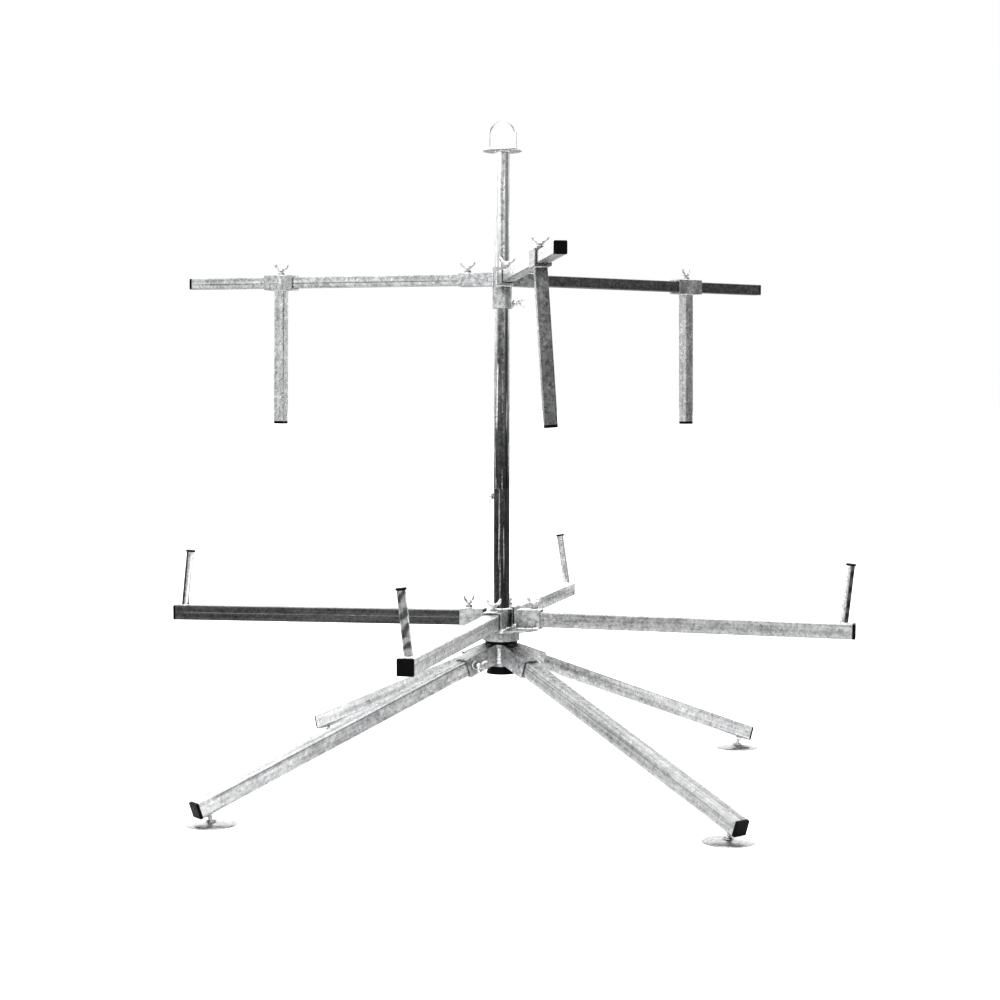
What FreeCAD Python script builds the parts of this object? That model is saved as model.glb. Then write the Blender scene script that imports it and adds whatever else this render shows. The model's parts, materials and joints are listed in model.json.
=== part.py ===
import FreeCAD, Part
import os
import re
import Sketcher

# A turntable for paying out coils of pipe, cable or wire. Four sloping legs carry a hub with an upright
# spindle. A rotor turns on it: four arms with end posts carry the coil, and a mast carries three upper
# arms whose sliding drop posts hold the coil from inside. Every arm and leg plugs into a square socket
# and is clamped by a wing screw.
# The origin is on the floor under the spindle, and +Z is up. Lengths are in millimetres, angles in degrees.

sizes = {
    # square tube of the legs and lower arms, and of the upper arms and drop posts
    "heavyWidth": 40, "heavyWall": 2, "lightWidth": 30, "lightWall": 2, "cornerRadius": 3, "boreRadius": 1,
    # sockets: clearance on each side of the tube, walls, and how far the tube stays from the socket's end
    "socketPlay": 1, "heavySocketWall": 4, "lightSocketWall": 1.5, "stopGap": 0.5,
    # legs: slope, direction of the first, start and length along the slope, socket mouth and its screw
    "legSlope": 19.45, "legAngle": -45, "legInner": 38, "legLength": 933, "legMouth": 134, "legScrew": 110,
    # feet: ball stud under the leg and the dished disc that stands on the floor
    "footInset": 25, "footStud": 21.3, "footBallHeight": 10, "footBall": 7, "footStudRadius": 6,
    "footDiscRadius": 62.5, "footDishTop": 44, "footDish": 5, "footSheet": 3, "footCupRadius": 13,
    "footCupHeight": 12, "footCupTaper": 3,
    # base hub: centre tube, its bore and the plate on top
    "coreRadius": 35, "coreBore": 28, "coreBoss": 34, "plateRadius": 43, "plateRise": 12.1,
    "plateThickness": 8, "coreDrop": 48, "capFlange": 40, "capTaper": 1, "capNeck": 36,
    "capDepth": 20.5, "capRim": 4, "capPlug": 14,
    # slewing joint: thrust washer, spindle, bushes and the bolt that keeps the rotor down
    "washerThickness": 8, "washerRadius": 43, "runningGap": 0.3, "spindleRadius": 15, "runningFit": 0.05,
    "bushWall": 5, "bushLength": 30, "bushInset": 1, "spindleProud": 1.5, "keeperRadius": 17,
    "keeperThickness": 3, "keeperBolt": 6, "keeperDepth": 25, "keeperTap": 30,
    # rotor hub: round flange, centre tube, the plate on the flange and the four sockets that stand on it
    "flangeRadius": 49, "flangeHeight": 34.7, "housingRadius": 30, "rotorPlateRadius": 105,
    "rotorPlateThickness": 5, "armAngle": -95.2, "armSocketInner": 46, "armInner": 48, "armMouth": 110,
    "armScrew": 90, "mastSink": 20,
    # lower arms with their end posts, which lean a little, each its own way
    "armLength": 880, "armDroop": 0.6, "postInset": 30, "postRadius": 10.65, "postWall": 2,
    "postHeight": 152, "postCapRadius": 13, "postCapThickness": 5,
    # mast
    "mastRadius": 21.2, "mastWall": 3, "mastLowerLength": 342, "mastUpperLength": 894.7,
    "spigotLength": 120, "spigotPlay": 0.3, "mastScrewDrop": 21, "mastScrewAngle": 140.2,
    # top disc and lifting ring
    "discRadius": 52.5, "discThickness": 5, "ringRadius": 35.5, "ringRod": 4.5, "ringLeg": 40,
    "ringAngle": 8,
    # upper hub, which slides on the mast
    "hubHeight": 557, "collarRadius": 26.8, "collarPlay": 0.85, "collarUp": 31, "collarDown": 78,
    "collarScrewRise": 14, "collarScrewAngle": 8, "upperAngle": -74.45, "upperInner": 33,
    "upperMouth": 120, "upperScrew": 100,
    # upper arms, and the sleeves that slide on them with their drop posts
    "upperLength": 916, "upperRise": 0.5, "sleeveSpot": 667, "sleeveLength": 88, "sleeveWall": 4,
    "dropLength": 367,
    # plastic end caps
    "capHead": 7.5, "capPlay": 0.2, "capInsert": 18, "capRounding": 2,
    # wing screws and the nuts welded under them
    "screwRadius": 5, "screwFit": 0.05, "tipGap": 0.4, "nutFlat": 17, "nutHeight": 8, "nutSink": 2.5,
    "screwReach": 4,
    "wingHub": 9, "wingHubHeight": 11, "wingHubTaper": 1.5, "wingSpan": 50, "wingHeight": 25,
    "wingLobe": 7.5, "wingThickness": 5, "wingRoot": 3, "wingRise": 38,
    # how far a cutting solid reaches past what it cuts
    "past": 1,
}

armLeans = [(0, -6.3), (5.5, 0), (0, 8.5), (-6.6, 0)]     # each end post: outwards, and to the side
sleeveLeans = [3.9, 0, 0]                                 # each drop post: to the side
legWings = [35, 10, 60, 20]                               # how far each wing screw is turned at rest
armWings = [103, 35, 20, 62]
upperWings = [80, 62, 22]
sleeveWings = [70, 20, 40]
mastWing = 0
collarWing = 55

doc = FreeCAD.newDocument("decoiler")
sheet = doc.addObject("Spreadsheet::Sheet", "dim")
for row, (alias, value) in enumerate(sizes.items(), start=1):
    sheet.set(f"A{row}", alias)
    sheet.set(f"B{row}", str(value))
    sheet.setAlias(f"B{row}", alias)
doc.recompute()

nodes = {}

# Places that more than one sub-part needs, as formulas of the sizes, stacked up from the floor.
footAlong = "(legInner + legLength - footInset)"
legPivot = (f"(footBallHeight + {footAlong} * sin(legSlope)"
            " + (heavyWidth / 2 + footStud) * cos(legSlope))")
plateTop = f"({legPivot} + plateRise)"
rotorBase = f"({plateTop} + washerThickness + runningGap)"
heavySocket = "(heavyWidth + 2 * socketPlay + 2 * heavySocketWall)"
heavyBore = "(heavyWidth + 2 * socketPlay)"
lightSocket = "(lightWidth + 2 * socketPlay + 2 * lightSocketWall)"
lightBore = "(lightWidth + 2 * socketPlay)"
armLevel = f"({rotorBase} + flangeHeight + {heavySocket} / 2)"
mastSeat = f"({armLevel} + {heavySocket} / 2 - mastSink)"
seam = f"({mastSeat} + mastLowerLength)"
mastTop = f"({seam} + runningGap + mastUpperLength)"
upperLevel = f"({seam} + runningGap + hubHeight)"
mastBore = "(mastRadius - mastWall)"
sleeveWidth = "(lightWidth + 2 * socketPlay + 2 * sleeveWall)"
screwHole = "(screwRadius + screwFit)"
bushRadius = "(spindleRadius + runningFit + bushWall)"
postSink = "heavyWall"


def formula(text):
    """Puts the sheet's name before each size in a formula."""
    return re.sub(r"[A-Za-z]\w*", lambda word: "dim." + word[0] if word[0] in sizes else word[0], text)


def at(x="0", y="0", z="0", about="0; 0; 1", turn="0"):
    """A step from one frame to the next: a shift, then a turn about an axis."""
    return f"placement(vector({x}; {y}; {z}); rotation(vector({about}); {turn}))"


def chain(*steps):
    return " * ".join(steps)


def add(kind, frame, **values):
    """Adds an object whose sizes and place are formulas of the sheet."""
    item = doc.addObject(kind, "shape")
    for value, text in values.items():
        item.setExpression(value, formula(text))
    item.setExpression("Placement", formula(frame))
    return item


def bar(frame, start, length, side):
    """A square bar along the frame's X axis."""
    place = chain(frame, at(start, f"-{side} / 2", f"-{side} / 2"))
    return add("Part::Box", place, Length=length, Width=side, Height=side)


def rod(frame, bottom, height, radius):
    """A round bar along the frame's Z axis."""
    return add("Part::Cylinder", chain(frame, at(z=bottom)), Radius=radius, Height=height)


def cone(frame, bottom, height, low, high):
    return add("Part::Cone", chain(frame, at(z=bottom)), Radius1=low, Radius2=high, Height=height)


def nut(frame, bottom):
    place = chain(frame, at(z=bottom))
    return add("Part::Prism", place, Circumradius="nutFlat / sqrt(3)", Height="nutHeight")


def join(*items):
    fused = doc.addObject("Part::MultiFuse", "joined")
    fused.Shapes = list(items)
    return fused


def cut(base, *tools):
    result = doc.addObject("Part::Cut", "cut")
    result.Base = base
    result.Tool = join(*tools) if len(tools) > 1 else tools[0]
    return result


def group(*items):
    """Separate solids that share one sub-part."""
    gathered = doc.addObject("Part::Compound", "group")
    gathered.Links = list(items)
    return gathered


def name(label, item):
    item.Label = label
    nodes[label] = item
    return item


def sketchOn(body, role):
    sketch = body.newObject("Sketcher::SketchObject", "outline")
    plane = next(item for item in body.Origin.OriginFeatures if item.Role == role)
    sketch.AttachmentSupport = [(plane, "")]
    sketch.MapMode = "FlatFace"
    return sketch


def square(sketch, side):
    """A square about the sketch's origin, its side a formula of the sheet."""
    first = sketch.GeometryCount
    half = sizes["lightWidth"] / 2
    corners = [FreeCAD.Vector(x * half, y * half, 0) for x, y in ((-1, -1), (1, -1), (1, 1), (-1, 1))]
    for index in range(4):
        sketch.addGeometry(Part.LineSegment(corners[index], corners[(index + 1) % 4]), False)
    for index in range(4):
        ends = (first + index, 2, first + (index + 1) % 4, 1)
        sketch.addConstraint(Sketcher.Constraint("Coincident", *ends))
        way = "Horizontal" if index % 2 == 0 else "Vertical"
        sketch.addConstraint(Sketcher.Constraint(way, first + index))
    sketch.addConstraint(Sketcher.Constraint("Symmetric", first, 1, first + 1, 2, -1, 1))
    for way, line in (("DistanceX", first), ("DistanceY", first + 1)):
        constraint = sketch.addConstraint(Sketcher.Constraint(way, line, 1, line, 2, 2 * half))
        sketch.setExpression(f"Constraints[{constraint}]", formula(side))


def pad(body, sketch, length, reverse=False):
    feature = body.newObject("PartDesign::Pad", "pad")
    feature.Profile = sketch
    feature.setExpression("Length", formula(length))
    feature.Reversed = reverse
    doc.recompute()
    return feature


def roundEdges(body, feature, chosen, radius):
    """Rounds the edges of a body's last feature for which chosen is true."""
    names = [f"Edge{number}" for number, edge in enumerate(feature.Shape.Edges, start=1) if chosen(edge)]
    fillet = body.newObject("PartDesign::Fillet", "rounding")
    fillet.Base = (feature, names)
    fillet.setExpression("Radius", formula(radius))
    doc.recompute()
    return fillet


def across(edge):
    """How far an edge's middle lies from the X axis."""
    middle = edge.CenterOfMass
    return (middle.y ** 2 + middle.z ** 2) ** 0.5


def alongX(edge):
    box = edge.BoundBox
    return box.XLength > box.YLength + box.ZLength


def squareTube(frame, width, wall, length):
    """A square tube from the frame's origin along its X axis, with rounded corners."""
    body = doc.addObject("PartDesign::Body", "tube")
    outline = sketchOn(body, "YZ_Plane")
    square(outline, width)
    square(outline, f"({width} - 2 * {wall})")
    tube = pad(body, outline, length)
    outer = max(across(edge) for edge in tube.Shape.Edges)
    tube = roundEdges(body, tube, lambda edge: alongX(edge) and across(edge) > outer - 0.1, "cornerRadius")
    inner = min(across(edge) for edge in tube.Shape.Edges if alongX(edge))
    roundEdges(body, tube, lambda edge: alongX(edge) and across(edge) < inner + 0.1, "boreRadius")
    body.setExpression("Placement", formula(frame))
    return body


def squareCap(label, frame, width, wall):
    """A plug-in end cap: its head lies on the tube's end at the frame's origin."""
    body = doc.addObject("PartDesign::Body", "cap")
    head = sketchOn(body, "YZ_Plane")
    square(head, width)
    block = pad(body, head, "capHead")
    plug = sketchOn(body, "YZ_Plane")
    square(plug, f"({width} - 2 * {wall} - 2 * capPlay)")
    block = pad(body, plug, "capInsert", reverse=True)
    outer = max(across(edge) for edge in block.Shape.Edges if alongX(edge))
    block = roundEdges(body, block, lambda edge: alongX(edge) and across(edge) > outer - 0.1, "cornerRadius")
    block = roundEdges(body, block, lambda edge: alongX(edge) and edge.CenterOfMass.x < 0, "boreRadius")
    face = max(edge.CenterOfMass.x for edge in block.Shape.Edges)
    rim = [edge for edge in block.Shape.Edges if edge.CenterOfMass.x > face - 0.01]
    centres = {tuple(round(value, 3) for value in edge.CenterOfMass) for edge in rim}
    roundEdges(body, block, lambda edge: tuple(round(value, 3) for value in edge.CenterOfMass) in centres,
               "capRounding")
    body.setExpression("Placement", formula(frame))
    return name(label, body) if label else body


def roundTube(frame, bottom, height, radius, bore):
    hole = rod(frame, f"{bottom} - past", f"{height} + 2 * past", bore)
    return cut(rod(frame, bottom, height, radius), hole)


def wingScrew(label, frame, wall, turn):
    """A wing screw whose tip is at the frame's origin and whose head points along its Z axis."""
    shank = f"({wall} + nutHeight + screwReach)"
    frame = chain(frame, at(turn=str(turn)))
    pieces = [rod(frame, "0", f"{shank} + wingHubHeight / 2", "screwRadius"),
              cone(frame, shank, "wingHubHeight", "wingHub", "wingHub - wingHubTaper")]
    for side in ("0", "180"):
        wing = chain(frame, at(turn=side))
        web = chain(wing, at("wingRoot", "-wingThickness / 2", f"{shank} + wingRoot", "0; 1; 0",
                             "-wingRise"))
        lobe = chain(wing, at("wingSpan / 2 - wingLobe", "wingThickness / 2",
                              f"{shank} + wingHeight - wingLobe", "1; 0; 0", "90"))
        pieces.append(add("Part::Box", web, Length="wingSpan / 2 - wingLobe", Width="wingThickness",
                          Height="wingLobe"))
        pieces.append(add("Part::Cylinder", lobe, Radius="wingLobe", Height="wingThickness"))
    return name(label, join(*pieces))


def legFrame(number):
    return chain(at(z=legPivot, turn=f"legAngle + {number * 90}"), at(about="0; 1; 0", turn="legSlope"))


def legScrewFrame(number, height):
    """On the side of a leg's socket, with Z pointing out of it."""
    return chain(legFrame(number), at("legScrew", height, "0", "1; 0; 0", "-90"))


def armSocketFrame(number):
    return at(z=armLevel, turn=f"armAngle + {number * 90}")


def armFrame(number):
    """Along a lower arm, which droops by the play in its socket."""
    middle = "(armInner + armMouth) / 2"
    return chain(armSocketFrame(number), at(middle, about="0; 1; 0", turn="armDroop"), at(f"-{middle}"))


def upperSocketFrame(number):
    return at(z=upperLevel, turn=f"upperAngle + {number * 120}")


def upperFrame(number):
    middle = "(upperInner + upperMouth) / 2"
    return chain(upperSocketFrame(number), at(middle, about="0; 1; 0", turn="-upperRise"), at(f"-{middle}"))


def makeBase():
    """The base hub with its sockets, and what is fixed in it."""
    ground = at()
    core = f"({legPivot} - coreDrop)"
    solids = [rod(ground, core, f"{plateTop} - {core}", "coreRadius"),
              rod(ground, f"{plateTop} - plateThickness", "plateThickness", "plateRadius")]
    holes = [rod(ground, f"{core} - past", f"{plateTop} - coreBoss - {core} + past", "coreBore"),
             rod(ground, core, f"{plateTop} - {core} + past", "spindleRadius"),
             rod(ground, plateTop, heavySocket, "legMouth")]
    for number in range(4):
        frame = legFrame(number)
        side = legScrewFrame(number, "0")
        solids.append(bar(frame, "0", "legMouth", heavySocket))
        solids.append(nut(side, f"{heavySocket} / 2"))
        holes.append(bar(frame, "legInner - stopGap", "legMouth", heavyBore))
        holes.append(rod(side, "0", heavySocket, screwHole))
    name("base_hub", cut(join(*solids), *holes))

    rim = f"({core} - capDepth)"
    name("base_cap", join(cone(ground, rim, "capRim", "capFlange - capTaper", "capFlange"),
                          cone(ground, f"{rim} + capRim", "capDepth - capRim", "capFlange - capTaper",
                               "capNeck"),
                          rod(ground, core, "capPlug", "coreBore - capPlay")))
    name("thrust_washer", roundTube(ground, plateTop, "washerThickness", "washerRadius",
                                    "spindleRadius + runningGap"))
    foot = f"({plateTop} - coreBoss)"
    top = f"({mastSeat} + spindleProud)"
    name("spindle", cut(rod(ground, foot, f"{top} - {foot}", "spindleRadius"),
                        rod(ground, f"{top} - keeperTap", "keeperTap + past", "keeperBolt")))
    bolt = rod(ground, f"{top} - keeperDepth", "keeperDepth + keeperThickness", "keeperBolt")
    washer = rod(ground, top, "keeperThickness", "keeperRadius")
    head = add("Part::Prism", at(z=f"{top} + keeperThickness"), Circumradius="nutFlat / sqrt(3)",
               Height="nutHeight")
    name("spindle_bolt", join(bolt, washer, head))


def makeLeg(number):
    """A leg with its end cap, its foot and the wing screw that clamps it."""
    frame = legFrame(number)
    start = chain(frame, at("legInner"))
    name(f"leg_{number + 1}", squareTube(start, "heavyWidth", "heavyWall", "legLength"))
    squareCap(f"leg_cap_{number + 1}", chain(start, at("legLength")), "heavyWidth", "heavyWall")

    stud = chain(frame, at(footAlong, "0", "-heavyWidth / 2", "0; 1; 0", "180"))
    ball = add("Part::Sphere", chain(stud, at(z="footStud")), Radius="footBall")
    shaft = join(rod(stud, "0", "footStud", "footStudRadius"), nut(stud, "0"), ball)
    reach = f"({footAlong} * cos(legSlope) - (heavyWidth / 2 + footStud) * sin(legSlope))"
    floor = at(turn=f"legAngle + {number * 90}") + f" * {at(reach)}"
    dish = cut(cone(floor, "0", "footDish + footSheet", "footDiscRadius", "footDishTop"),
               cone(floor, "-footSheet", "footDish + footSheet", "footDiscRadius", "footDishTop"))
    cup = cone(floor, "footDish / 2", "footCupHeight - footDish / 2", "footCupRadius",
               "footCupRadius - footCupTaper")
    socket = add("Part::Sphere", chain(floor, at(z="footBallHeight")), Radius="footBall + runningFit")
    neck = rod(floor, "footBallHeight", "footCupHeight", "footBall + runningFit")
    name(f"foot_{number + 1}", group(shaft, cut(join(dish, cup), socket, neck)))

    tip = legScrewFrame(number, "heavyWidth / 2 + tipGap")
    wall = "(socketPlay + heavySocketWall - tipGap)"
    wingScrew(f"leg_screw_{number + 1}", tip, wall, legWings[number])


def makeRotor():
    """The rotor hub, its bushes and the lower length of the mast."""
    ground = at()
    solids = [rod(ground, rotorBase, "flangeHeight", "flangeRadius"),
              rod(ground, f"{rotorBase} + flangeHeight - rotorPlateThickness", "rotorPlateThickness",
                  "rotorPlateRadius"),
              rod(ground, rotorBase, f"flangeHeight + {heavySocket}", "housingRadius")]
    holes = [rod(ground, f"{rotorBase} - past", f"{mastSeat} - {rotorBase} + past", bushRadius),
             rod(ground, mastSeat, "mastSink + past", "mastRadius")]
    for number in range(4):
        frame = armSocketFrame(number)
        screw = chain(frame, at("armScrew"))
        solids.append(bar(frame, "armSocketInner", "armMouth - armSocketInner", heavySocket))
        solids.append(nut(screw, f"{heavySocket} / 2"))
        holes.append(bar(frame, "armSocketInner - past", "armMouth", heavyBore))
        holes.append(rod(screw, "0", heavySocket, screwHole))
    name("rotor_hub", cut(join(*solids), *holes))

    bore = "(spindleRadius + runningFit)"
    low = roundTube(ground, f"({rotorBase} + bushInset)", "bushLength", bushRadius, bore)
    high = roundTube(ground, f"({mastSeat} - bushLength)", "bushLength", bushRadius, bore)
    name("spindle_bushes", group(low, high))

    side = chain(at(z=f"{seam} - mastScrewDrop", turn="mastScrewAngle"), at(about="0; 1; 0", turn="90"))
    tube = roundTube(ground, mastSeat, "mastLowerLength", "mastRadius", mastBore)
    boss = nut(side, "mastRadius - nutSink")
    name("mast_lower", cut(join(tube, boss), rod(side, "0", "2 * mastRadius", screwHole)))
    tip = chain(side, at(z=f"{mastBore} - spigotPlay + tipGap"))
    wingScrew("mast_screw", tip, "(mastWall + spigotPlay - tipGap)", mastWing)


def makeLowerArm(number):
    """A lower arm with its leaning end post, its caps and its wing screw."""
    frame = armFrame(number)
    start = chain(frame, at("armInner"))
    outwards, sideways = armLeans[number]
    foot = chain(start, at("armLength + capHead - postInset", "0", "heavyWidth / 2 - heavyWall",
                           "0; 1; 0", str(outwards)), at(about="1; 0; 0", turn=str(-sideways)))
    post = cut(roundTube(foot, f"(-{postSink})", f"(postHeight + {postSink})", "postRadius",
                         "postRadius - postWall"),
               bar(start, "0", "armLength + capHead", "(heavyWidth - 2 * heavyWall)"))
    tube = squareTube(start, "heavyWidth", "heavyWall", "armLength")
    name(f"lower_arm_{number + 1}", join(tube, post))

    end = squareCap(None, chain(start, at("armLength")), "heavyWidth", "heavyWall")
    crown = join(rod(foot, "postHeight - capInsert", "capInsert + past", "postRadius - postWall - capPlay"),
                 rod(foot, "postHeight", "postCapThickness", "postCapRadius"))
    name(f"lower_arm_caps_{number + 1}", group(end, crown))

    tip = chain(armSocketFrame(number), at("armScrew", z="heavyWidth / 2 + tipGap"))
    wingScrew(f"arm_screw_{number + 1}", tip, "(socketPlay + heavySocketWall - tipGap)", armWings[number])


def makeMast():
    """The upper length of the mast with its spigot, top disc and lifting ring."""
    ground = at()
    low = f"({seam} + runningGap)"
    name("mast_upper", roundTube(ground, low, "mastUpperLength", "mastRadius", mastBore))
    spigot = join(rod(ground, f"{seam} - spigotLength", "spigotLength + past", f"{mastBore} - spigotPlay"),
                  rod(ground, low, "spigotLength", mastBore))
    name("mast_spigot", cut(spigot, rod(ground, f"{seam} - spigotLength - past", "3 * spigotLength",
                                        f"{mastBore} - mastWall")))
    arch = chain(at(z=f"{mastTop} + discThickness", turn="ringAngle"))
    crown = add("Part::Torus", chain(arch, at(z="ringLeg", about="1; 0; 0", turn="90")),
                Radius1="ringRadius", Radius2="ringRod", Angle3="180")
    legs = [rod(chain(arch, at(side + "ringRadius")), "-past", "ringLeg + past", "ringRod")
            for side in ("", "-")]
    name("mast_top", join(rod(ground, mastTop, "discThickness", "discRadius"), crown, *legs))


def makeUpperHub():
    """The collar that slides on the mast, with three sockets and its own wing screw."""
    low = f"({upperLevel} - collarDown)"
    solids = [rod(at(), low, "collarUp + collarDown", "collarRadius")]
    holes = [rod(at(), f"{low} - past", "collarUp + collarDown + 2 * past", "mastRadius + collarPlay")]
    for number in range(3):
        frame = upperSocketFrame(number)
        screw = chain(frame, at("upperScrew"))
        solids.append(bar(frame, "0", "upperMouth", lightSocket))
        solids.append(nut(screw, f"{lightSocket} / 2"))
        holes.append(bar(frame, "upperInner - stopGap", "upperMouth", lightBore))
        holes.append(rod(screw, "0", lightSocket, screwHole))
    side = chain(at(z=f"{low} + collarScrewRise", turn="collarScrewAngle"), at(about="0; 1; 0", turn="90"))
    solids.append(nut(side, "collarRadius - nutSink"))
    holes.append(rod(side, "0", "2 * collarRadius", screwHole))
    name("upper_hub", cut(join(*solids), *holes))
    tip = chain(side, at(z="mastRadius + tipGap"))
    wingScrew("collar_screw", tip, "(collarRadius - mastRadius - tipGap)", collarWing)


def makeUpperArm(number):
    """An upper arm, and the sleeve with the drop post that slides on it."""
    frame = upperFrame(number)
    start = chain(frame, at("upperInner"))
    name(f"upper_arm_{number + 1}", squareTube(start, "lightWidth", "lightWall", "upperLength"))
    squareCap(f"upper_arm_cap_{number + 1}", chain(start, at("upperLength")), "lightWidth", "lightWall")
    tip = chain(upperSocketFrame(number), at("upperScrew", z="lightWidth / 2 + tipGap"))
    wingScrew(f"upper_screw_{number + 1}", tip, "(socketPlay + lightSocketWall - tipGap)",
              upperWings[number])

    middle = chain(frame, at("sleeveSpot"))
    shell = bar(middle, "-sleeveLength / 2", "sleeveLength", sleeveWidth)
    top = at(z=f"-({sleeveWidth} - sleeveWall) / 2", about="1; 0; 0", turn=str(sleeveLeans[number]))
    drop = chain(middle, top, at(about="0; 1; 0", turn="90"))
    post = squareTube(drop, "lightWidth", "lightWall", "dropLength")
    window = bar(middle, "-sleeveLength / 2 - past", "sleeveLength + 2 * past", lightBore)
    hole = rod(middle, "0", sleeveWidth, screwHole)
    name(f"sleeve_{number + 1}", cut(join(shell, nut(middle, f"{sleeveWidth} / 2"), post), window, hole))
    squareCap(f"drop_post_cap_{number + 1}", chain(drop, at("dropLength")), "lightWidth", "lightWall")
    wingScrew(f"sleeve_screw_{number + 1}", chain(middle, at(z="lightWidth / 2 + tipGap")),
              "(socketPlay + sleeveWall - tipGap)", sleeveWings[number])


def check():
    """Stops if anything failed to build."""
    for item in doc.Objects:
        if "Invalid" in item.State or "Error" in item.State:
            raise RuntimeError(f"{item.Label} did not build")
    for label, item in nodes.items():
        if item.Shape.isNull() or not item.Shape.isValid() or not item.Shape.Solids:
            raise RuntimeError(f"{label} has no sound solid")


makeBase()
makeRotor()
makeMast()
makeUpperHub()
for number in range(4):
    makeLeg(number)
    makeLowerArm(number)
for number in range(3):
    makeUpperArm(number)
doc.recompute()
check()
os.makedirs("parts", exist_ok=True)
for label, item in nodes.items():
    item.Shape.exportStep(f"parts/{label}.step")
print(len(nodes), "sub-parts written")
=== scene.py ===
import json
import math
import random

import bmesh
import bpy
import numpy
from mathutils import Matrix, Vector


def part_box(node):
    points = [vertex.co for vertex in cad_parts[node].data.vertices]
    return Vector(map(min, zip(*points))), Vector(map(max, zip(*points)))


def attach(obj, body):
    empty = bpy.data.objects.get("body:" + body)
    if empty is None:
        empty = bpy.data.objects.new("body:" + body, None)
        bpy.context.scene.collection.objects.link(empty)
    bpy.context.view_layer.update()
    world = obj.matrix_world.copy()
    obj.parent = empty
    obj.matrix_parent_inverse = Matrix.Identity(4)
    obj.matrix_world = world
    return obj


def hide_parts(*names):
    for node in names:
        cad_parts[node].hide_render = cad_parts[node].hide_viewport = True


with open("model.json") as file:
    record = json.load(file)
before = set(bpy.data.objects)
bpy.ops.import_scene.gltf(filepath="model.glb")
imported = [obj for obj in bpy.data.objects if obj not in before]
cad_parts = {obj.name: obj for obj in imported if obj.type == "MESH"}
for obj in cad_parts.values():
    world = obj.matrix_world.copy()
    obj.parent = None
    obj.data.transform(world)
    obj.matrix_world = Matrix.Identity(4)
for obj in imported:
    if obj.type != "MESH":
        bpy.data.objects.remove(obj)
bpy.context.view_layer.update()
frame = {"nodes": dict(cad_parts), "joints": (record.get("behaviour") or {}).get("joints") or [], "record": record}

nodes = frame["nodes"]
bodies = frame["record"]["behaviour"]["bodies"]
bodyOfNode = {node: body for body, members in bodies.items() for node in members}
slotOfNode = {name: node.data.materials[0].name for name, node in nodes.items()}
jointOf = {joint["child"]: joint for joint in frame["joints"]}
random.seed(7)
print("frame loaded:", len(nodes), "sub-parts")


# camera, floor and lights

view = {"distance": 5.081, "height": 1.0154, "sideways": -0.0045, "turn": 8.0, "down": 2.87, "roll": 0.12,
        "focalLength": 68.45}


def makeCamera():
    camera = bpy.data.objects.new("camera", bpy.data.cameras.new("camera"))
    camera.data.lens = view["focalLength"]
    camera.data.sensor_width = 36
    camera.data.clip_end = 600
    turn = Matrix.Rotation(math.radians(view["turn"]), 4, "Z")
    tilt = Matrix.Rotation(math.radians(90 - view["down"]), 4, "X")
    roll = Matrix.Rotation(math.radians(view["roll"]), 4, "Z")
    place = turn @ Matrix.Translation((view["sideways"], -view["distance"], view["height"]))
    camera.matrix_world = place @ tilt @ roll
    bpy.context.scene.collection.objects.link(camera)
    bpy.context.scene.camera = camera


# node tree helpers

def addNode(tree, kind, inputs=None, **settings):
    node = tree.nodes.new(kind)
    for key, value in settings.items():
        setattr(node, key, value)
    for key, value in (inputs or {}).items():
        if isinstance(value, bpy.types.NodeSocket):
            tree.links.new(value, node.inputs[key])
        else:
            node.inputs[key].default_value = value
    return node


def calc(tree, operation, *values, clamp=False):
    inputs = dict(enumerate(values))
    return addNode(tree, "ShaderNodeMath", inputs, operation=operation, use_clamp=clamp).outputs[0]


def vectorCalc(tree, operation, *values):
    node = addNode(tree, "ShaderNodeVectorMath", operation=operation)
    for index, value in enumerate(values):
        if isinstance(value, bpy.types.NodeSocket):
            tree.links.new(value, node.inputs[index])
        elif operation == "SCALE" and index == 1:
            node.inputs["Scale"].default_value = value
        else:
            node.inputs[index].default_value = value
    return node.outputs["Value" if operation == "DOT_PRODUCT" else "Vector"]


def fade(tree, value, low, high, start=0.0, end=1.0):
    limits = {"Value": value, "From Min": low, "From Max": high, "To Min": start, "To Max": end}
    return addNode(tree, "ShaderNodeMapRange", limits, interpolation_type="SMOOTHSTEP").outputs[0]


def blendColour(tree, share, first, second):
    node = addNode(tree, "ShaderNodeMix", {0: share, 6: first, 7: second}, data_type="RGBA")
    return node.outputs[2]


def grey(value, warmth=0.0):
    return (value * (1 + warmth), value, value * (1 - warmth), 1)


def newGroup(name, kind, inputs, outputs):
    tree = bpy.data.node_groups.new(name, kind)
    for label, socket, value in inputs:
        made = tree.interface.new_socket(label, in_out="INPUT", socket_type="NodeSocket" + socket)
        if value is not None:
            made.default_value = value
    for label, socket in outputs:
        tree.interface.new_socket(label, in_out="OUTPUT", socket_type="NodeSocket" + socket)
    return tree, addNode(tree, "NodeGroupInput").outputs, addNode(tree, "NodeGroupOutput").inputs


# studio

studio = {"floorRadius": 300, "floorColour": 0.86, "nearBounce": 0.8, "farBounce": 0.15,
          "nearReach": 1.5, "farReach": 3.2, "seen": 1.0, "zenith": 2.5, "frontBox": 3.0,
          "overhead": 90, "overheadSize": 3.2, "overheadPlace": (0.2, -0.4, 4.4), "target": (0, 0, 0.5)}
# brightness of the walls by direction, in degrees from +X: soft boxes on the left and behind, dark in front
walls = [(-180, 2.1), (-160, 2.0), (-140, 1.8), (-128, 1.7), (-114, 1.5), (-102, 1.5), (-93, 0.5),
         (-82, 0.04), (-68, 0.08), (-50, 0.36), (-41, 0.45), (-20, 0.28), (0, 0.32), (20, 0.9),
         (46, 2.2), (72, 2.8), (98, 2.4), (115, 3.0), (140, 2.4), (180, 2.1)]


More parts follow.
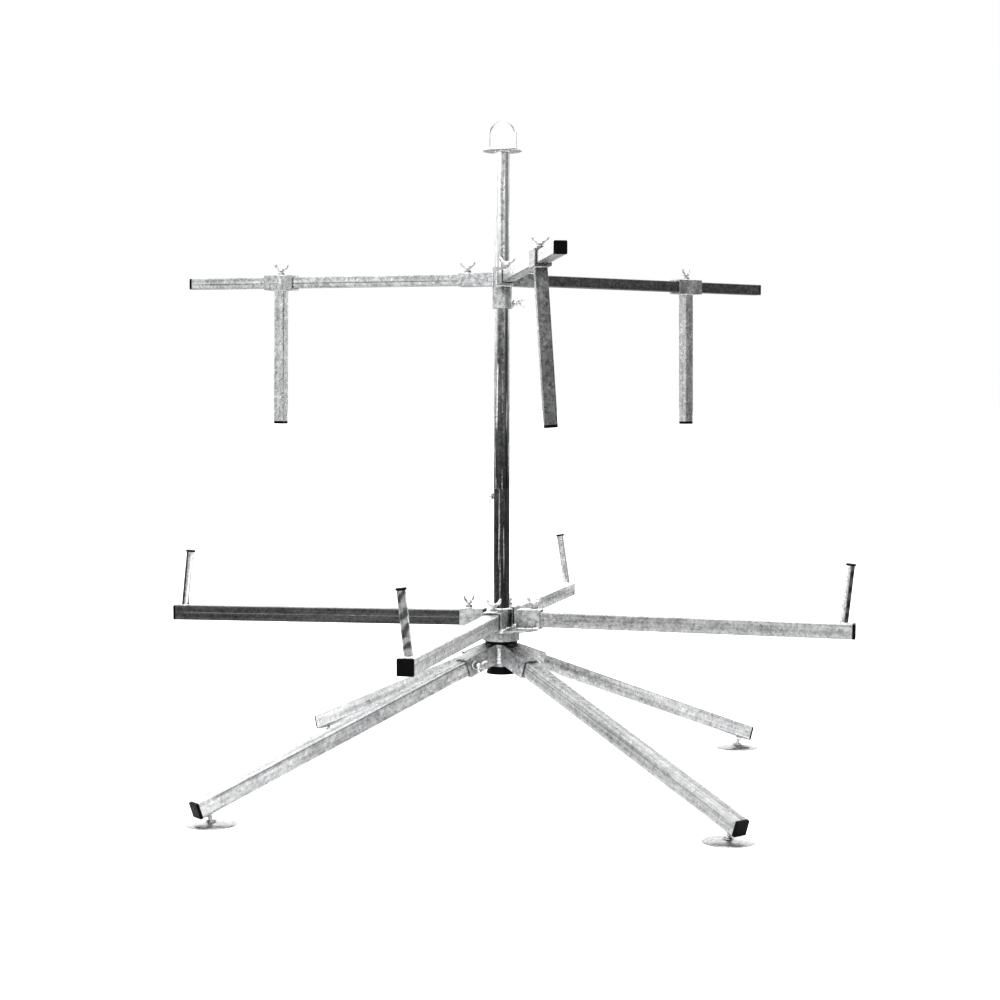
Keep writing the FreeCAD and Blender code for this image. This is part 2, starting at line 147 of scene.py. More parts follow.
def addLight(name, place, target, size, power):
    light = bpy.data.objects.new(name, bpy.data.lights.new(name, "AREA"))
    light.data.size = size
    light.data.energy = power
    light.location = place
    light.rotation_euler = (Vector(target) - Vector(place)).to_track_quat("-Z", "Y").to_euler()
    bpy.context.scene.collection.objects.link(light)


def makeWorld():
    world = bpy.data.worlds.new("studio")
    bpy.context.scene.world = world
    world.use_nodes = True
    tree = world.node_tree
    way = addNode(tree, "ShaderNodeTexCoord").outputs["Generated"]
    parts = addNode(tree, "ShaderNodeSeparateXYZ", {"Vector": way}).outputs
    heading = calc(tree, "MULTIPLY_ADD", calc(tree, "ARCTAN2", parts[1], parts[0]), 0.5 / math.pi, 0.5)
    ramp = addNode(tree, "ShaderNodeValToRGB", {"Fac": heading})
    stops = ramp.color_ramp.elements
    while len(stops) < len(walls):
        stops.new(0.5)
    for stop, (direction, level) in zip(stops, walls):
        stop.position = (direction + 180) / 360
        stop.color = (level, level, level, 1)
    # a soft box in front, above the camera, and a bright sky over everything
    front = calc(tree, "MULTIPLY", fade(tree, parts[1], -0.6, -0.85), fade(tree, parts[2], 0.075, 0.14))
    wall = addNode(tree, "ShaderNodeMix", {0: front, 2: ramp.outputs[0], 3: studio["frontBox"]}).outputs[0]
    high = fade(tree, parts[2], 0.2, 0.75)
    sky = addNode(tree, "ShaderNodeMix", {0: high, 2: wall, 3: studio["zenith"]}).outputs[0]
    seen = addNode(tree, "ShaderNodeLightPath").outputs["Is Camera Ray"]
    strength = addNode(tree, "ShaderNodeMix", {0: seen, 2: sky, 3: studio["seen"]}).outputs[0]
    tree.links.new(strength, tree.nodes["Background"].inputs["Strength"])
    tree.nodes["Background"].inputs["Color"].default_value = (1, 1, 1, 1)


def makeStudio():
    mesh = bpy.data.meshes.new("floor")
    shape = bmesh.new()
    bmesh.ops.create_circle(shape, cap_ends=True, segments=96, radius=studio["floorRadius"])
    shape.to_mesh(mesh)
    shape.free()
    floor = bpy.data.objects.new("floor", mesh)
    bpy.context.scene.collection.objects.link(floor)
    material = bpy.data.materials.new("paleFloor")
    material.use_nodes = True
    surface = material.node_tree.nodes["Principled BSDF"]
    tree = material.node_tree
    seen = addNode(tree, "ShaderNodeLightPath").outputs["Is Camera Ray"]
    spot = addNode(tree, "ShaderNodeTexCoord").outputs["Object"]
    reach = addNode(tree, "ShaderNodeVectorMath", {0: spot}, operation="LENGTH").outputs["Value"]
    limits = (studio[key] for key in ("nearReach", "farReach", "nearBounce", "farBounce"))
    bounce = fade(tree, reach, *limits)
    pale = blendColour(tree, seen, bounce, grey(studio["floorColour"]))
    tree.links.new(pale, surface.inputs["Base Color"])
    surface.inputs["Roughness"].default_value = 0.9
    surface.inputs["Specular IOR Level"].default_value = 0.1
    mesh.materials.append(material)
    makeWorld()
    place, target = studio["overheadPlace"], studio["target"]
    addLight("overhead", place, target, studio["overheadSize"], studio["overhead"])
    bpy.context.scene.view_settings.view_transform = "Standard"


makeCamera()
makeStudio()
print("camera and studio made")


# shared surface effects, as shader node groups

# noise scales, per metre, and the share each layer has in the shade
spangle = {"grain": 520.0, "cloud": 14.0, "streak": (2.4, 110.0, 110.0), "patch": 0.31, "cellShare": 0.65,
           "grainShare": 0.35}
scuff = {"bend": 9.0, "worn": 22.0, "stretch": (1.0, 14.0, 6.0)}
tubeCorner = {"uneven": 40.0, "from": 0.84, "full": 0.97}
bandLook = {"uneven": 34.0, "wander": 7.0, "slant": 1.6}


def spangleGroup():
    tree, given, result = newGroup(
        "zincSpangle", "ShaderNodeTree",
        [("Place", "Vector", None), ("Crystal Size", "Float", 0.008), ("Crystal Contrast", "Float", 0.5),
         ("Cloud Contrast", "Float", 0.4), ("Streak Contrast", "Float", 0.3), ("Facet Tilt", "Float", 0.12)],
        [("Shade", "Float"), ("Gloss", "Float"), ("Relief", "Float"), ("Normal", "Vector")])
    place = given["Place"]
    density = calc(tree, "DIVIDE", 1.0, given["Crystal Size"])
    warp = addNode(tree, "ShaderNodeTexNoise", {"Vector": place, "Scale": density, "Detail": 2.0})
    push = vectorCalc(tree, "SUBTRACT", warp.outputs["Color"], (0.5, 0.5, 0.5))
    push = addNode(tree, "ShaderNodeVectorMath", {0: push, "Scale": given["Crystal Size"]}, operation="SCALE")
    bent = vectorCalc(tree, "ADD", place, push.outputs["Vector"])
    crystal = addNode(tree, "ShaderNodeTexVoronoi", {"Vector": bent, "Scale": density})
    own = addNode(tree, "ShaderNodeSeparateXYZ", {"Vector": crystal.outputs["Color"]}).outputs
    coarse = calc(tree, "MULTIPLY", density, spangle["patch"])
    patch = addNode(tree, "ShaderNodeTexVoronoi", {"Vector": bent, "Scale": coarse})
    patchTone = addNode(tree, "ShaderNodeSeparateXYZ", {"Vector": patch.outputs["Color"]}).outputs[1]
    fine = {"Vector": place, "Scale": spangle["grain"], "Detail": 3.0}
    grain = addNode(tree, "ShaderNodeTexNoise", fine).outputs[0]
    broad = {"Vector": place, "Scale": spangle["cloud"], "Detail": 4.0, "Roughness": 0.6}
    cloud = addNode(tree, "ShaderNodeTexNoise", broad).outputs[0]
    drawn = vectorCalc(tree, "MULTIPLY", place, spangle["streak"])
    streak = addNode(tree, "ShaderNodeTexNoise", {"Vector": drawn, "Scale": 1.0, "Detail": 3.0}).outputs[0]

    share = spangle["cellShare"]
    cells = calc(tree, "MULTIPLY_ADD", own[0], share, calc(tree, "MULTIPLY", patchTone, 1 - share))
    shade = calc(tree, "MULTIPLY_ADD", calc(tree, "SUBTRACT", cells, 0.5), given["Crystal Contrast"], 0.5)
    shade = calc(tree, "MULTIPLY_ADD", calc(tree, "SUBTRACT", cloud, 0.5), given["Cloud Contrast"], shade)
    shade = calc(tree, "MULTIPLY_ADD", calc(tree, "SUBTRACT", streak, 0.5), given["Streak Contrast"], shade)
    grainShare = spangle["grainShare"]
    shade = calc(tree, "MULTIPLY_ADD", calc(tree, "SUBTRACT", grain, 0.5), grainShare, shade, clamp=True)
    tree.links.new(shade, result["Shade"])
    gloss = calc(tree, "MULTIPLY_ADD", grain, 0.4, calc(tree, "MULTIPLY", own[1], 0.6))
    tree.links.new(gloss, result["Gloss"])
    relief = calc(tree, "MULTIPLY_ADD", cloud, 0.6, calc(tree, "MULTIPLY", streak, 0.25))
    relief = calc(tree, "MULTIPLY_ADD", grain, 0.12, relief)
    tree.links.new(relief, result["Relief"])
    lean = vectorCalc(tree, "SUBTRACT", crystal.outputs["Color"], (0.5, 0.5, 0.5))
    lean = addNode(tree, "ShaderNodeVectorMath", {0: lean, "Scale": given["Facet Tilt"]}, operation="SCALE")
    facing = addNode(tree, "ShaderNodeNewGeometry").outputs["Normal"]
    tilted = vectorCalc(tree, "NORMALIZE", vectorCalc(tree, "ADD", facing, lean.outputs["Vector"]))
    tree.links.new(tilted, result["Normal"])
    return tree


def scuffGroup():
    tree, given, result = newGroup(
        "handlingScuffs", "ShaderNodeTree",
        [("Place", "Vector", None), ("Amount", "Float", 0.5), ("Length", "Float", 0.03)], [("Mask", "Float")])
    size = calc(tree, "DIVIDE", 1.0, given["Length"])
    place = given["Place"]
    bend = addNode(tree, "ShaderNodeTexNoise", {"Vector": place, "Scale": scuff["bend"]}).outputs["Color"]
    turned = vectorCalc(tree, "ADD", place, vectorCalc(tree, "MULTIPLY", bend, (0.05, 0.05, 0.05)))
    stretched = vectorCalc(tree, "MULTIPLY", turned, scuff["stretch"])
    scratch = {"Vector": stretched, "Scale": size, "Detail": 2.0}
    lines = addNode(tree, "ShaderNodeTexNoise", scratch).outputs[0]
    worn = addNode(tree, "ShaderNodeTexNoise", {"Vector": place, "Scale": scuff["worn"]}).outputs[0]
    mask = calc(tree, "MULTIPLY", fade(tree, lines, 0.58, 0.72), fade(tree, worn, 0.42, 0.66))
    tree.links.new(calc(tree, "MULTIPLY", mask, given["Amount"], clamp=True), result["Mask"])
    return tree


def cornerGroup():
    tree, given, result = newGroup(
        "tubeCorner", "ShaderNodeTree", [("Place", "Vector", None), ("Half Width", "Float", 0.02)],
        [("Mask", "Float")])
    parts = addNode(tree, "ShaderNodeSeparateXYZ", {"Vector": given["Place"]}).outputs
    nearer = calc(tree, "MINIMUM", calc(tree, "ABSOLUTE", parts[1]), calc(tree, "ABSOLUTE", parts[2]))
    share = calc(tree, "DIVIDE", nearer, given["Half Width"])
    blotch = {"Vector": given["Place"], "Scale": tubeCorner["uneven"]}
    uneven = addNode(tree, "ShaderNodeTexNoise", blotch).outputs[0]
    edge = fade(tree, share, tubeCorner["from"], tubeCorner["full"])
    tree.links.new(calc(tree, "MULTIPLY", edge, fade(tree, uneven, 0.3, 0.6)), result["Mask"])
    return tree


# painted shade on the outward side of an end post, broken into slanted wavy bands
def bandGroup():
    tree, given, result = newGroup(
        "paintedShadeBands", "ShaderNodeTree",
        [("Place", "Vector", None), ("Radius", "Float", 0.01), ("Pitch", "Float", 0.036)],
        [("Mask", "Float")])
    parts = addNode(tree, "ShaderNodeSeparateXYZ", {"Vector": given["Place"]}).outputs
    blotch = {"Vector": given["Place"], "Scale": bandLook["uneven"], "Detail": 2.0}
    uneven = addNode(tree, "ShaderNodeTexNoise", blotch).outputs[0]
    wander = calc(tree, "MULTIPLY", uneven, bandLook["wander"])
    rise = calc(tree, "MULTIPLY", calc(tree, "DIVIDE", parts[0], given["Pitch"]), 2 * math.pi)
    across = calc(tree, "DIVIDE", parts[1], given["Radius"])
    slant = calc(tree, "MULTIPLY_ADD", across, bandLook["slant"], calc(tree, "ADD", rise, wander))
    band = fade(tree, calc(tree, "SINE", slant), -0.8, 0.9)
    outward = calc(tree, "DIVIDE", parts[2], given["Radius"])
    tree.links.new(calc(tree, "MULTIPLY", band, fade(tree, outward, 0.0, 0.4)), result["Mask"])
    return tree


groups = {"spangle": spangleGroup(), "scuffs": scuffGroup(), "corner": cornerGroup(),
          "bands": bandGroup()}
print("surface effects made:", ", ".join(groups))


# materials

def newMaterial(name, metallic, roughness):
    material = bpy.data.materials.new(name)
    material.use_nodes = True
    surface = material.node_tree.nodes["Principled BSDF"]
    surface.inputs["Metallic"].default_value = metallic
    surface.inputs["Roughness"].default_value = roughness
    return material, material.node_tree, surface.inputs


def effect(tree, name, inputs):
    node = addNode(tree, "ShaderNodeGroup", node_tree=groups[name])
    for key, value in inputs.items():
        if isinstance(value, bpy.types.NodeSocket):
            tree.links.new(value, node.inputs[key])
        else:
            node.inputs[key].default_value = value
    return node


# recess paints shade into hollows, edge paints shade on a round tube's rims, bands paint shade as dark slanted
# bands on an end post's outward side, lines are bright streaks
galvanisedLooks = {
    "galvanisedTube": {
        "dark": 0.1, "light": 0.64, "crystal": 0.006, "crystalContrast": 0.42, "cloud": 0.45,
        "streak": 1.15, "tilt": 0.1, "smooth": 0.24, "rough": 0.44, "bump": 0.00035, "half": 0.02},
    "galvanisedLightTube": {
        "dark": 0.1, "light": 0.6, "crystal": 0.006, "crystalContrast": 0.45, "cloud": 0.5,
        "streak": 0.9, "tilt": 0.1, "smooth": 0.24, "rough": 0.44, "bump": 0.00035, "half": 0.015},
    "galvanisedMast": {
        "dark": 0.05, "light": 0.62, "crystal": 0.007, "crystalContrast": 0.2, "cloud": 0.3,
        "streak": 1.9, "tilt": 0.03, "smooth": 0.12, "rough": 0.26, "bump": 0.0002, "half": None,
        "edge": 0.14, "lines": 0.85},
    "galvanisedWeldment": {
        "dark": 0.12, "light": 0.57, "crystal": 0.008, "crystalContrast": 0.55, "cloud": 0.45,
        "streak": 0.0, "tilt": 0.12, "smooth": 0.24, "rough": 0.46, "bump": 0.0004, "half": None,
        "recess": 0.05},
    "brightZinc": {
        "dark": 0.4, "light": 0.92, "crystal": 0.006, "crystalContrast": 0.3, "cloud": 0.4,
        "streak": 0.0, "tilt": 0.05, "smooth": 0.2, "rough": 0.34, "bump": 0.0003, "half": None},
    "galvanisedPost": {
        "dark": 0.4, "light": 0.9, "crystal": 0.005, "crystalContrast": 0.25, "cloud": 0.5,
        "streak": 0.8, "tilt": 0.03, "smooth": 0.1, "rough": 0.22, "bump": 0.0006, "half": None,
        "edge": 0.4, "bands": 0.85},
    "weldMetal": {
        "dark": 0.3, "light": 0.85, "crystal": 0.004, "crystalContrast": 0.7, "cloud": 0.4,
        "streak": 0.0, "tilt": 0.1, "smooth": 0.2, "rough": 0.38, "bump": 0.0004, "half": None},
    "seamMetal": {
        "dark": 0.04, "light": 0.16, "crystal": 0.004, "crystalContrast": 0.5, "cloud": 0.6,
        "streak": 0.4, "tilt": 0.06, "smooth": 0.3, "rough": 0.5, "bump": 0.0003, "half": None},
    "footDisc": {
        "dark": 0.12, "light": 0.36, "crystal": 0.009, "crystalContrast": 0.35, "cloud": 0.7,
        "streak": 0.2, "tilt": 0.05, "smooth": 0.2, "rough": 0.4, "bump": 0.0003, "half": None},
}


def galvanised(name):
    look = galvanisedLooks[name]
    material, tree, surface = newMaterial(name, 1.0, look["rough"])
    place = addNode(tree, "ShaderNodeAttribute", attribute_name="place").outputs["Vector"]
    # the painted light and shade tone stored on the piece, which multiplies the zinc colour
    paintedShading = addNode(tree, "ShaderNodeAttribute", attribute_name="paintedShading").outputs["Fac"]
    zinc = effect(tree, "spangle", {"Place": place, "Crystal Size": look["crystal"],
                                    "Crystal Contrast": look["crystalContrast"],
                                    "Cloud Contrast": look["cloud"], "Streak Contrast": look["streak"],
                                    "Facet Tilt": look["tilt"]}).outputs
    scuffs = effect(tree, "scuffs", {"Place": place, "Amount": 0.7}).outputs["Mask"]
    colour = blendColour(tree, zinc["Shade"], grey(look["dark"], -0.02), grey(look["light"], -0.008))
    colour = blendColour(tree, calc(tree, "MULTIPLY", scuffs, 0.4), colour, grey(0.72))
    if look["half"]:
        worn = effect(tree, "corner", {"Place": place, "Half Width": look["half"]}).outputs["Mask"]
        colour = blendColour(tree, calc(tree, "MULTIPLY", worn, 0.45), colour, grey(0.2))
    if "bands" in look:
        # painted shade in dark bands on the end post's outward side
        bands = effect(tree, "bands", {"Place": place}).outputs["Mask"]
        colour = blendColour(tree, calc(tree, "MULTIPLY", bands, look["bands"]), colour, grey(0.035))
    if "recess" in look:
        # painted shade: ambient occlusion darkens the weldment's hollows
        hollow = addNode(tree, "ShaderNodeAmbientOcclusion", {"Distance": look["recess"]}, samples=8)
        paintedShading = calc(tree, "MULTIPLY", paintedShading, fade(tree, hollow.outputs["AO"], 0.25, 0.85, 0.12, 1.0))
    if "edge" in look:
        # painted shade: darker toward the rims of a round tube, where its surface turns away from view
        rim = addNode(tree, "ShaderNodeLayerWeight", {"Blend": 0.5}).outputs["Facing"]
        paintedShading = calc(tree, "MULTIPLY", paintedShading, fade(tree, rim, 0.55, 0.9, 1.0, look["edge"]))
    both = {0: 1.0, 6: colour, 7: paintedShading}
    toned = addNode(tree, "ShaderNodeMix", both, data_type="RGBA", blend_type="MULTIPLY").outputs[2]
    if "lines" in look:
        drawn = vectorCalc(tree, "MULTIPLY", place, (5.0, 150.0, 150.0))
        line = addNode(tree, "ShaderNodeTexNoise", {"Vector": drawn, "Scale": 1.0, "Detail": 2.0}).outputs[0]
        bright = calc(tree, "MULTIPLY", fade(tree, line, 0.57, 0.65), look["lines"])
        toned = blendColour(tree, bright, toned, grey(0.75))
    tree.links.new(toned, surface["Base Color"])
    finish = fade(tree, zinc["Gloss"], 0.2, 0.8, look["smooth"], look["rough"])
    tree.links.new(calc(tree, "MULTIPLY_ADD", scuffs, 0.12, finish), surface["Roughness"])
    bump = addNode(tree, "ShaderNodeBump", {"Height": zinc["Relief"], "Distance": look["bump"],
                                            "Normal": zinc["Normal"]})
    tree.links.new(bump.outputs[0], surface["Normal"])
    return material


def zincPlated():
    material, tree, surface = newMaterial("zincPlate", 1.0, 0.3)
    place = addNode(tree, "ShaderNodeTexCoord").outputs["Object"]
    cast = addNode(tree, "ShaderNodeTexNoise", {"Vector": place, "Scale": 900.0, "Detail": 3.0}).outputs[0]
    patchy = addNode(tree, "ShaderNodeTexNoise", {"Vector": place, "Scale": 120.0}).outputs[0]
    scuffs = effect(tree, "scuffs", {"Place": place, "Amount": 0.8, "Length": 0.008}).outputs["Mask"]
    colour = blendColour(tree, fade(tree, patchy, 0.3, 0.7), grey(0.42, 0.01), grey(0.72, 0.02))
    colour = blendColour(tree, scuffs, colour, grey(0.85))
    tree.links.new(colour, surface["Base Color"])
    tree.links.new(fade(tree, cast, 0.3, 0.7, 0.22, 0.4), surface["Roughness"])
    bump = addNode(tree, "ShaderNodeBump", {"Height": cast, "Distance": 0.00015})
    tree.links.new(bump.outputs[0], surface["Normal"])
    return material


def turnedSteel():
    material, tree, surface = newMaterial("turnedSteel", 1.0, 0.25)
    place = addNode(tree, "ShaderNodeTexCoord").outputs["Object"]
    rings = vectorCalc(tree, "MULTIPLY", place, (1.0, 1.0, 900.0))
    marks = addNode(tree, "ShaderNodeTexNoise", {"Vector": rings, "Scale": 3.0, "Detail": 3.0}).outputs[0]
    scuffs = effect(tree, "scuffs", {"Place": place, "Amount": 0.5}).outputs["Mask"]
    colour = blendColour(tree, marks, grey(0.4, 0.02), grey(0.62, 0.02))
    tree.links.new(blendColour(tree, scuffs, colour, grey(0.3, 0.05)), surface["Base Color"])
    tree.links.new(fade(tree, marks, 0.3, 0.7, 0.16, 0.34), surface["Roughness"])
    bump = addNode(tree, "ShaderNodeBump", {"Height": marks, "Distance": 0.00005})
    tree.links.new(bump.outputs[0], surface["Normal"])
    return material


def mouldedPlastic(name, dark, light, roughness):
    material, tree, surface = newMaterial(name, 0.0, roughness)
    place = addNode(tree, "ShaderNodeTexCoord").outputs["Object"]
    texture = addNode(tree, "ShaderNodeTexVoronoi", {"Vector": place, "Scale": 1400.0}).outputs["Distance"]
    cloud = addNode(tree, "ShaderNodeTexNoise", {"Vector": place, "Scale": 60.0, "Detail": 3.0}).outputs[0]
    scuffs = effect(tree, "scuffs", {"Place": place, "Amount": 0.6, "Length": 0.012}).outputs["Mask"]
    colour = blendColour(tree, cloud, grey(dark), grey(light))
    colour = blendColour(tree, calc(tree, "MULTIPLY", scuffs, 0.5), colour, grey(0.02))
    tree.links.new(colour, surface["Base Color"])
    rough = fade(tree, cloud, 0.3, 0.7, roughness - 0.07, roughness + 0.08)
    tree.links.new(calc(tree, "MULTIPLY_ADD", scuffs, 0.15, rough), surface["Roughness"])
    bump = addNode(tree, "ShaderNodeBump", {"Height": texture, "Distance": 0.00006, "Strength": 0.6})
    tree.links.new(bump.outputs[0], surface["Normal"])
    surface["Specular IOR Level"].default_value = 0.03
    return material


finishes = {name: galvanised(name) for name in galvanisedLooks}
finishes["zincPlate"] = zincPlated()
finishes["turnedSteel"] = turnedSteel()
finishes["blackCap"] = mouldedPlastic("blackCap", 0.0008, 0.0022, 0.45)
finishes["bearingPlastic"] = mouldedPlastic("bearingPlastic", 0.001, 0.003, 0.4)
finishOfSlot = {"galvanised_square_tube": "galvanisedTube", "galvanised_mast": "galvanisedMast",
                "galvanised_weldments": "galvanisedWeldment", "zinc_screws": "zincPlate",
                "spindle_steel": "turnedSteel", "black_caps": "blackCap",
                "bearing_plastic": "bearingPlastic"}
print("materials made:", len(finishes))


# mesh helpers

def frameAlong(origin, along, up):  # x along, z near up
    along = Vector(along).normalized()
    side = Vector(up).cross(along).normalized()
    return Matrix.Translation(origin) @ Matrix((along, side, along.cross(side))).transposed().to_4x4()


def frameOn(origin, axis, side):  # z on the axis, x near side
    axis = Vector(axis).normalized()
    across = axis.cross(Vector(side)).normalized()
    return Matrix.Translation(origin) @ Matrix((across.cross(axis), across, axis)).transposed().to_4x4()


def pointsOf(node, place=None):
    points = [vertex.co.copy() for vertex in nodes[node].data.vertices]
    return [place.inverted() @ point for point in points] if place else points


def middle(points):
    return sum(points, Vector()) / len(points)


def evaluated(holder):
    depsgraph = bpy.context.evaluated_depsgraph_get()
    mesh = bpy.data.meshes.new_from_object(holder.evaluated_get(depsgraph))
    bpy.data.objects.remove(holder)
    return mesh


def holderOf(mesh):
    holder = bpy.data.objects.new("holder", mesh)
    bpy.context.scene.collection.objects.link(holder)
    return holder


# rounds the sharp edges of a mesh and keeps its flats flat
def softened(mesh, width, segments=2, angle=40):
    holder = holderOf(mesh)
    bevel = holder.modifiers.new("edges", "BEVEL")
    bevel.width = width
    bevel.segments = segments
    bevel.limit_method = "ANGLE"
    bevel.angle_limit = math.radians(angle)
    bevel.harden_normals = True
    for polygon in mesh.polygons:
        polygon.use_smooth = True
    weighted = holder.modifiers.new("normals", "WEIGHTED_NORMAL")
    weighted.keep_sharp = True
    return evaluated(holder)


def cleanCopy(node):
    mesh = nodes[node].data.copy()
    mesh.materials.clear()
    if "custom_normal" in mesh.attributes:
        mesh.attributes.remove(mesh.attributes["custom_normal"])
    shape = bmesh.new()
    shape.from_mesh(mesh)
    bmesh.ops.remove_doubles(shape, verts=shape.verts, dist=2e-6)
    bmesh.ops.dissolve_limit(shape, angle_limit=math.radians(1), verts=shape.verts, edges=shape.edges)
    for edge in shape.edges:
        edge.smooth = True
    shape.to_mesh(mesh)
    shape.free()
    return mesh


# stores each point in the piece's own frame, so that its zinc pattern follows it, and the piece's painted light
# and shade tone
def setPlace(mesh, local, paintedShading=1.0):
    inverse = local.inverted()
    shift = Vector((random.uniform(3, 9), 0, 0))
    count = len(mesh.vertices)
    place = mesh.attributes.new("place", "FLOAT_VECTOR", "POINT")
    values = numpy.empty(count * 3, numpy.float32)
    for index, vertex in enumerate(mesh.vertices):
        values[index * 3:index * 3 + 3] = inverse @ vertex.co + shift
    place.data.foreach_set("vector", values)
    shade = mesh.attributes.new("paintedShading", "FLOAT", "POINT")
    shade.data.foreach_set("value", numpy.full(count, paintedShading, numpy.float32))


def addPiece(name, mesh, body, replaced=(), finish=None, local=None, paintedShading=1.0):
    mesh.name = name
    if finish:
        mesh.materials.clear()
        mesh.materials.append(finishes[finish])
    setPlace(mesh, local or Matrix.Identity(4), paintedShading)
    piece = bpy.data.objects.new(name, mesh)
    bpy.context.scene.collection.objects.link(piece)
    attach(piece, body)
    if replaced:
        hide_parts(*replaced)
    return piece


def roundSpot(radius, turn, height=0.0):
    return Vector((radius * math.cos(turn), radius * math.sin(turn), height))


# turns a profile of (radius, height) points about z; it starts and ends on the axis, or closes on itself
def lathe(shape, place, profile, segments=64):
    rings = []
    for radius, height in profile:
        count = 1 if radius < 1e-7 else segments
        turns = [2 * math.pi * index / count for index in range(count)]
        rings.append([shape.verts.new(place @ roundSpot(radius, turn, height)) for turn in turns])
    closed = len(rings[0]) > 1
    pairs = list(zip(rings, rings[1:])) + ([(rings[-1], rings[0])] if closed else [])
    for first, second in pairs:
        for index in range(segments):
            following = (index + 1) % segments
            corners = [first[index % len(first)], first[following % len(first)],
                       second[following % len(second)], second[index % len(second)]]
            corners = list(dict.fromkeys(corners))
            shape.faces.new(corners)


# a round rod along points that lie in one upright plane
def sweep(shape, points, radius, sides=24):
    across = (points[-1] - points[0]).cross(Vector((0, 0, 1))).normalized()
    rings = []
    for index, point in enumerate(points):
        ahead = points[min(index + 1, len(points) - 1)] - points[max(index - 1, 0)]
        out = across.cross(ahead).normalized()
        rings.append([shape.verts.new(point + radius * (out * math.cos(turn) + across * math.sin(turn)))
                      for turn in (2 * math.pi * step / sides for step in range(sides))])
    for first, second in zip(rings, rings[1:]):
        for step in range(sides):
            following = (step + 1) % sides
            shape.faces.new([first[step], second[step], second[following], first[following]])
    shape.faces.new(rings[0])
    shape.faces.new(list(reversed(rings[-1])))


def meshOf(shape, smoothAngle=None):
    bmesh.ops.recalc_face_normals(shape, faces=shape.faces)
    mesh = bpy.data.meshes.new("shape")
    shape.to_mesh(mesh)
    shape.free()
    for polygon in mesh.polygons:
        polygon.use_smooth = True
    if smoothAngle:
        mesh.set_sharp_from_angle(angle=math.radians(smoothAngle))
    return mesh


def joined(*meshes):
    shape = bmesh.new()
    for mesh in meshes:
        shape.from_mesh(mesh)
    mesh = bpy.data.meshes.new("joined")
    shape.to_mesh(mesh)
    shape.free()
    return mesh


# Geometry Nodes trees

def finishTree(tree, geometry, given, result):
    whole = addNode(tree, "GeometryNodeRealizeInstances", {"Geometry": geometry}).outputs[0]
    painted = {"Geometry": whole, "Material": given["Material"]}
    whole = addNode(tree, "GeometryNodeSetMaterial", painted).outputs[0]
    tree.links.new(whole, result["Geometry"])


def threadTree():
    tree, given, result = newGroup(
        "threadedRod", "GeometryNodeTree",
        [("Radius", "Float", 0.005), ("Length", "Float", 0.02), ("Pitch", "Float", 0.0015),
         ("Material", "Material", None)], [("Geometry", "Geometry")])
    tree.is_modifier = True
    ridge = calc(tree, "MULTIPLY", given["Pitch"], 0.36)
    helix = calc(tree, "SUBTRACT", given["Radius"], ridge)
    start = calc(tree, "MULTIPLY", given["Pitch"], 0.6)
    rise = calc(tree, "SUBTRACT", given["Length"], calc(tree, "MULTIPLY", start, 2.0))
    path = addNode(tree, "GeometryNodeCurveSpiral",
                   {"Resolution": 20, "Rotations": calc(tree, "DIVIDE", rise, given["Pitch"]),
                    "Start Radius": helix, "End Radius": helix, "Height": rise}).outputs[0]
    profile = addNode(tree, "GeometryNodeCurvePrimitiveCircle", {"Resolution": 6, "Radius": ridge}).outputs[0]
    thread = addNode(tree, "GeometryNodeCurveToMesh", {"Curve": path, "Profile Curve": profile,
                                                       "Fill Caps": True}).outputs[0]
    lift = addNode(tree, "ShaderNodeCombineXYZ", {"Z": start}).outputs[0]
    thread = addNode(tree, "GeometryNodeSetPosition", {"Geometry": thread, "Offset": lift}).outputs[0]
    core = addNode(tree, "GeometryNodeMeshCylinder", {"Vertices": 32, "Radius": helix,
                                                      "Depth": given["Length"]}).outputs["Mesh"]
    half = calc(tree, "MULTIPLY", given["Length"], 0.5)
    half = addNode(tree, "ShaderNodeCombineXYZ", {"Z": half}).outputs[0]
    core = addNode(tree, "GeometryNodeSetPosition", {"Geometry": core, "Offset": half}).outputs[0]
    both = addNode(tree, "GeometryNodeJoinGeometry")
    tree.links.new(core, both.inputs[0])
    tree.links.new(thread, both.inputs[0])
    finishTree(tree, both.outputs[0], given, result)
    return tree


